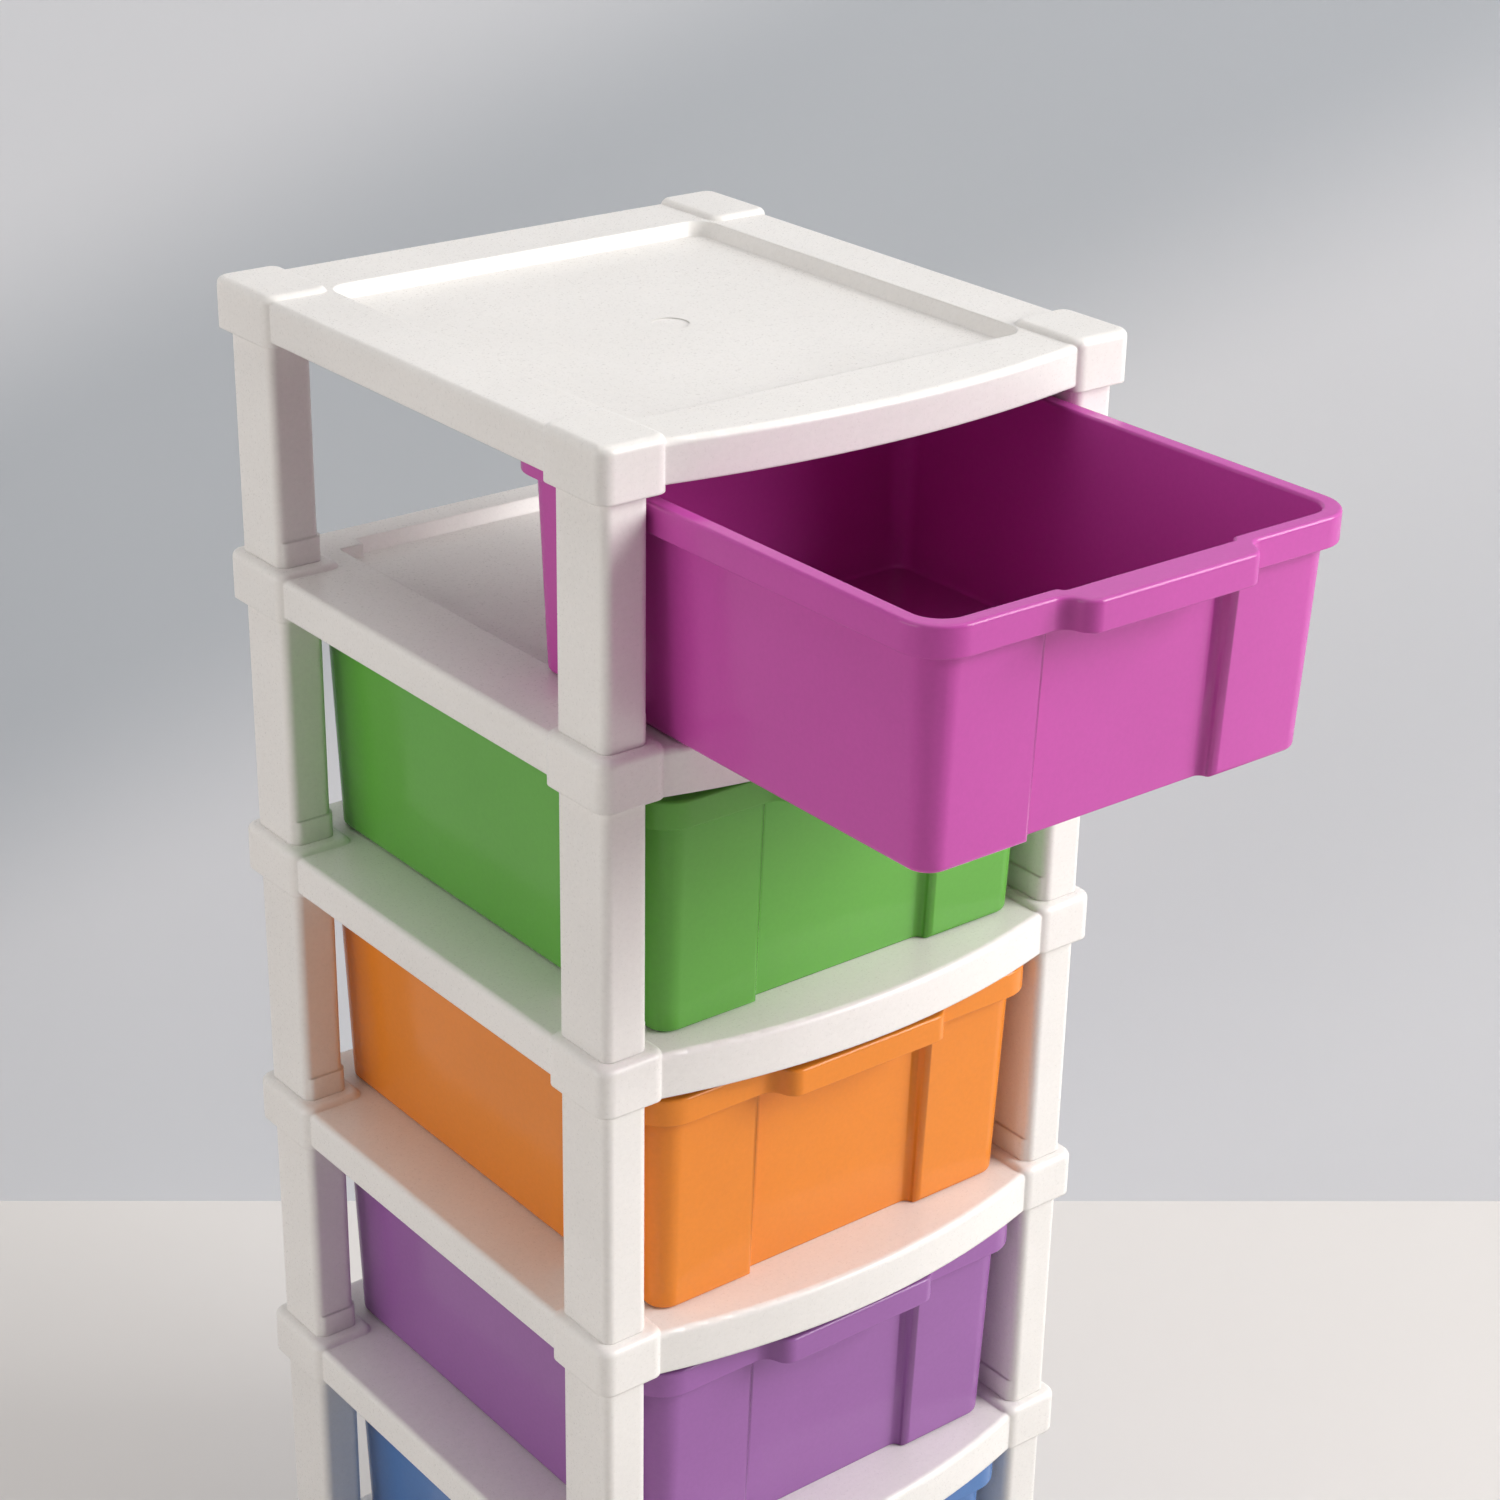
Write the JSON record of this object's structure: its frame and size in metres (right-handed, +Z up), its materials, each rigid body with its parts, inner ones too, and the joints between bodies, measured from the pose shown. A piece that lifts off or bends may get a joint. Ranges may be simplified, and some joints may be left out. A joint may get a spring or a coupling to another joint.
{
  "type": "plastic drawer tower",
  "caption": "Tall white plastic drawer tower: corner posts plug into moulded trays with bowed fronts, and bright tapered drawers with a handle swell slide out to the front.",
  "frame": {"origin": "on the floor plane under the feet, at the middle of the outline in width and depth as it stands, with the top drawer out", "axes": "+Z up the tower, +X to the right seen from the front, the drawers open towards -Y"},
  "size_m": [0.3, 0.5008, 0.78],
  "materials": {
    "shell_white": "moulded, softly glossy",
    "drawer_magenta": "moulded, glossy with a fine grain",
    "drawer_green": "moulded, glossy with a fine grain",
    "drawer_orange": "moulded, glossy with a fine grain",
    "drawer_purple": "moulded, glossy with a fine grain",
    "drawer_blue": "moulded, glossy with a fine grain"
  },
  "bodies": {
    "tower": {"top_tray": "shell_white", "shelf_1": "shell_white", "shelf_2": "shell_white", "shelf_3": "shell_white", "shelf_4": "shell_white", "shelf_5": "shell_white", "post_1_front_left": "shell_white", "post_1_front_right": "shell_white", "post_1_rear_left": "shell_white", "post_1_rear_right": "shell_white", "post_2_front_left": "shell_white", "post_2_front_right": "shell_white", "post_2_rear_left": "shell_white", "post_2_rear_right": "shell_white", "post_3_front_left": "shell_white", "post_3_front_right": "shell_white", "post_3_rear_left": "shell_white", "post_3_rear_right": "shell_white", "post_4_front_left": "shell_white", "post_4_front_right": "shell_white", "post_4_rear_left": "shell_white", "post_4_rear_right": "shell_white", "post_5_front_left": "shell_white", "post_5_front_right": "shell_white", "post_5_rear_left": "shell_white", "post_5_rear_right": "shell_white", "foot_front_left": "shell_white", "foot_front_right": "shell_white", "foot_rear_left": "shell_white", "foot_rear_right": "shell_white"},
    "bin_1": {"drawer_1": "drawer_magenta"},
    "bin_2": {"drawer_2": "drawer_green"},
    "bin_3": {"drawer_3": "drawer_orange"},
    "bin_4": {"drawer_4": "drawer_purple"},
    "bin_5": {"drawer_5": "drawer_blue"}
  },
  "joints": [
    {"name": "drawer_1_slide", "type": "slide", "parent": "tower", "child": "bin_1", "axis": [0, -1, 0], "range_m": [-0.172, 0.028]},
    {"name": "drawer_2_slide", "type": "slide", "parent": "tower", "child": "bin_2", "axis": [0, -1, 0], "range_m": [0, 0.2]},
    {"name": "drawer_3_slide", "type": "slide", "parent": "tower", "child": "bin_3", "axis": [0, -1, 0], "range_m": [0, 0.2]},
    {"name": "drawer_4_slide", "type": "slide", "parent": "tower", "child": "bin_4", "axis": [0, -1, 0], "range_m": [0, 0.2]},
    {"name": "drawer_5_slide", "type": "slide", "parent": "tower", "child": "bin_5", "axis": [0, -1, 0], "range_m": [0, 0.2]}
  ]
}
